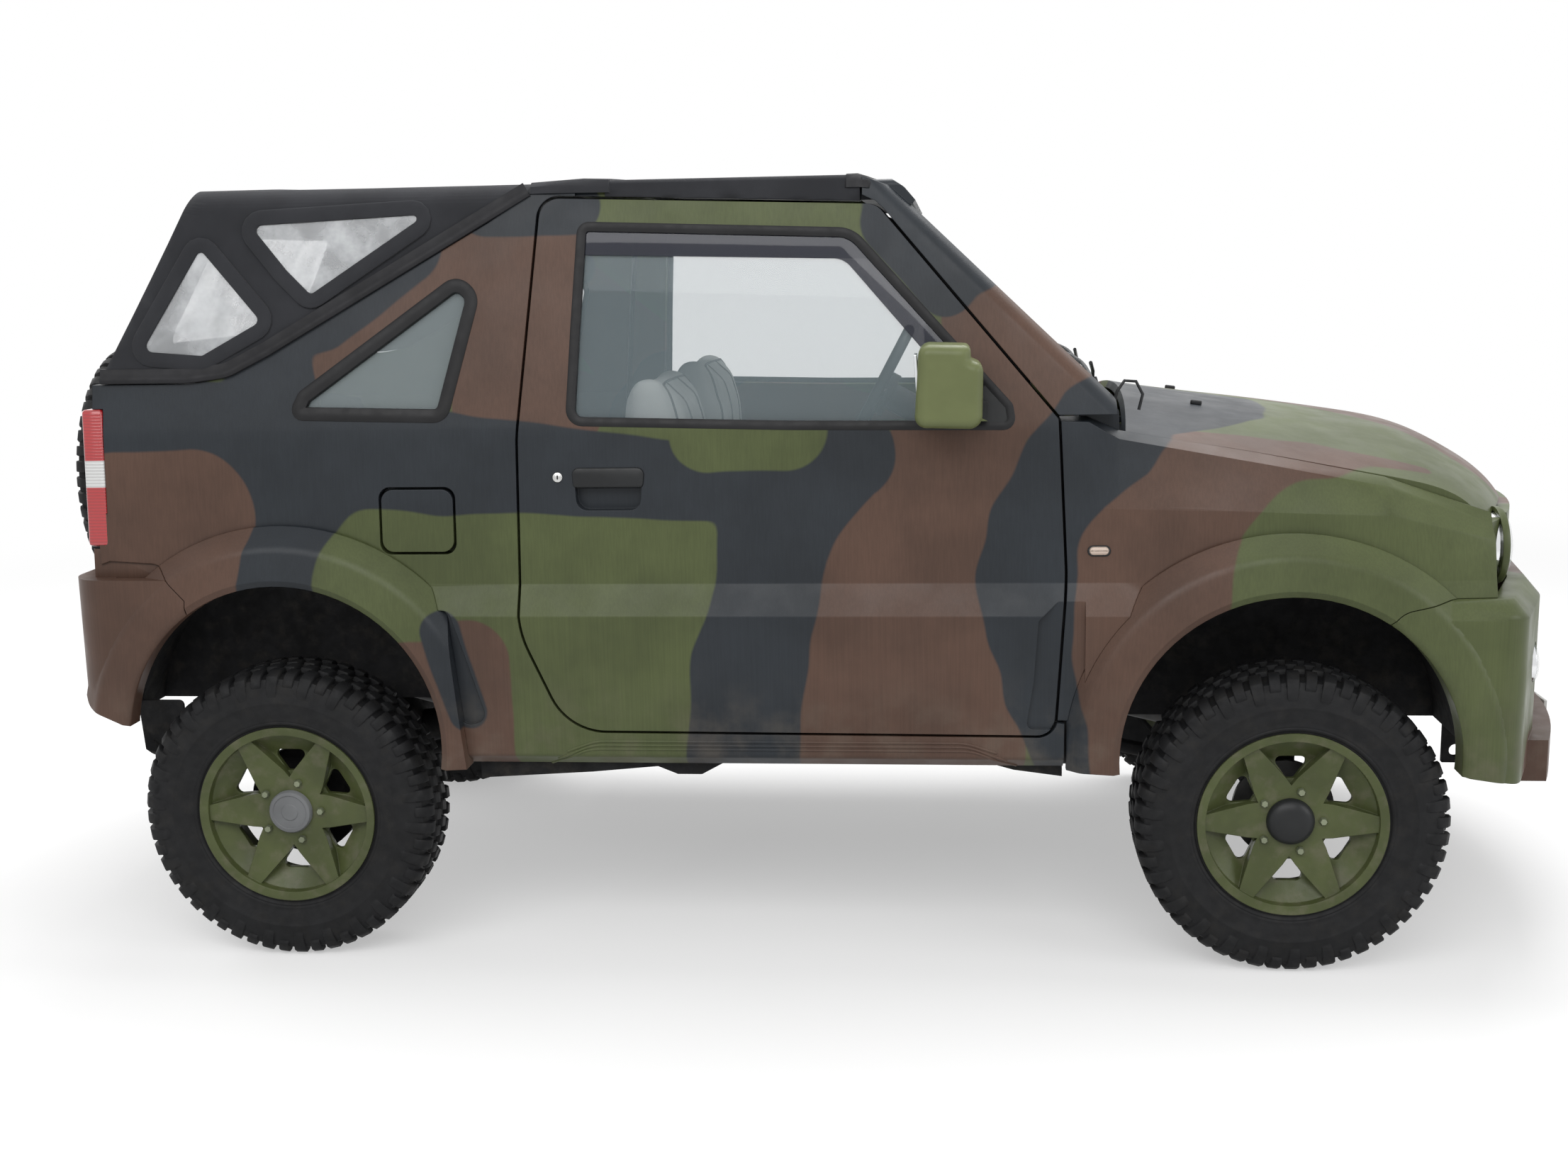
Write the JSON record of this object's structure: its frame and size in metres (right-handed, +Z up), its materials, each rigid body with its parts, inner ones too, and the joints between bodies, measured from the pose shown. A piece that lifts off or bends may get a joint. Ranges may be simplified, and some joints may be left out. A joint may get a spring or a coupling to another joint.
{
  "type": "off-road car",
  "caption": "Short three-door off-road car with a fabric rear top, flared arches, mud tyres and a spare wheel on its side-hinged tailgate.",
  "frame": {"origin": "on the ground, under the middle of the car's overall box", "axes": "+X forward, +Y to the car's left, +Z up"},
  "size_m": [3.6145, 1.784, 1.7646],
  "materials": {
    "camouflage_paint": "satin paint in green, brown and black patches",
    "clear_glass": "polished, light tint",
    "clear_vinyl": "soft clear sheet, slightly hazy",
    "black_underbody": "matt black",
    "lamp_lens": "glossy lens",
    "top_fabric": "woven dark grey top cloth",
    "driveline_metal": "cast and rolled steel, dull",
    "seat_fabric": "grey woven cloth",
    "interior_plastic": "grained dark plastic",
    "tyre_rubber": "matt rubber",
    "rim_paint": "satin green paint"
  },
  "bodies": {
    "body": {"body_side_right": "camouflage_paint", "body_side_left": "camouflage_paint", "body_frames": "camouflage_paint", "windscreen_frame": "camouflage_paint", "front_wings": "camouflage_paint", "arch_flares": "camouflage_paint", "front_panel": "camouflage_paint", "front_bumper": "camouflage_paint", "rear_bumper": "camouflage_paint", "body_glass": "clear_glass", "top_windows": "clear_vinyl", "floor_pan": "black_underbody", "arch_liners": "black_underbody", "ladder_frame": "black_underbody", "axles": "black_underbody", "suspension": "black_underbody", "fuel_tank": "black_underbody", "lamps": "lamp_lens", "soft_top": "top_fabric", "driveline": "driveline_metal", "exhaust": "driveline_metal", "seats": "seat_fabric", "dashboard": "interior_plastic"},
    "bonnet": {"bonnet": "camouflage_paint"},
    "door_right": {"door_right": "camouflage_paint", "door_glass_right": "clear_glass", "mirror_right": "camouflage_paint"},
    "door_left": {"door_left": "camouflage_paint", "door_glass_left": "clear_glass", "mirror_left": "camouflage_paint"},
    "tailgate": {"tailgate": "camouflage_paint", "spare_tyre": "tyre_rubber", "spare_rim": "rim_paint"},
    "fuel_flap": {"fuel_flap": "camouflage_paint"},
    "steering_wheel": {"steering_wheel": "interior_plastic"},
    "knuckle_right": {"knuckle_right": "driveline_metal"},
    "knuckle_left": {"knuckle_left": "driveline_metal"},
    "wheel_rear_right": {"tyre_rear_right": "tyre_rubber", "rim_rear_right": "rim_paint"},
    "wheel_rear_left": {"tyre_rear_left": "tyre_rubber", "rim_rear_left": "rim_paint"},
    "wheel_front_right": {"tyre_front_right": "tyre_rubber", "rim_front_right": "rim_paint"},
    "wheel_front_left": {"tyre_front_left": "tyre_rubber", "rim_front_left": "rim_paint"}
  },
  "joints": [
    {"name": "bonnet_hinge", "type": "hinge", "parent": "body", "child": "bonnet", "pos_m": [0.7915, 0, 1.2], "axis": [0, -1, 0], "range_deg": [0, 55]},
    {"name": "door_right_hinge", "type": "hinge", "parent": "body", "child": "door_right", "pos_m": [0.6095, -0.773, 0.9], "axis": [0, 0, 1], "range_deg": [0, 65]},
    {"name": "door_left_hinge", "type": "hinge", "parent": "body", "child": "door_left", "pos_m": [0.6095, 0.773, 0.9], "axis": [0, 0, -1], "range_deg": [0, 65]},
    {"name": "tailgate_hinge", "type": "hinge", "parent": "body", "child": "tailgate", "pos_m": [-1.5745, -0.592, 1.03], "axis": [0, 0, 1], "range_deg": [0, 95]},
    {"name": "fuel_flap_hinge", "type": "hinge", "parent": "body", "child": "fuel_flap", "pos_m": [-0.7305, -0.742, 1.009], "axis": [0, 0, 1], "range_deg": [0, 100]},
    {"name": "steering_left", "type": "hinge", "parent": "body", "child": "knuckle_left", "pos_m": [1.1075, 0.6, 0.338], "axis": [-0.0523, -0.139, 0.9889], "range_deg": [-28, 28]},
    {"name": "steering_right", "type": "hinge", "parent": "body", "child": "knuckle_right", "pos_m": [1.1075, -0.6, 0.338], "axis": [-0.0523, 0.139, 0.9889], "range_deg": [-28, 28]},
    {"name": "steering_wheel_turn", "type": "hinge", "parent": "body", "child": "steering_wheel", "pos_m": [0.1735, 0.37, 1.209], "axis": [-0.8829, 0, 0.4695], "range_deg": [-450, 450]},
    {"name": "wheel_rear_right_spin", "type": "hinge", "parent": "body", "child": "wheel_rear_right", "pos_m": [-1.1425, -0.683, 0.338], "axis": [0, 1, 0], "continuous": true},
    {"name": "wheel_rear_left_spin", "type": "hinge", "parent": "body", "child": "wheel_rear_left", "pos_m": [-1.1425, 0.683, 0.338], "axis": [0, 1, 0], "continuous": true},
    {"name": "wheel_front_right_spin", "type": "hinge", "parent": "knuckle_right", "child": "wheel_front_right", "pos_m": [1.1075, -0.683, 0.338], "axis": [0, 1, 0], "continuous": true},
    {"name": "wheel_front_left_spin", "type": "hinge", "parent": "knuckle_left", "child": "wheel_front_left", "pos_m": [1.1075, 0.683, 0.338], "axis": [0, 1, 0], "continuous": true}
  ],
  "couplings": [
    {"joint": "steering_right", "follows": "steering_left", "ratio": 1},
    {"joint": "steering_wheel_turn", "follows": "steering_left", "ratio": 16}
  ]
}
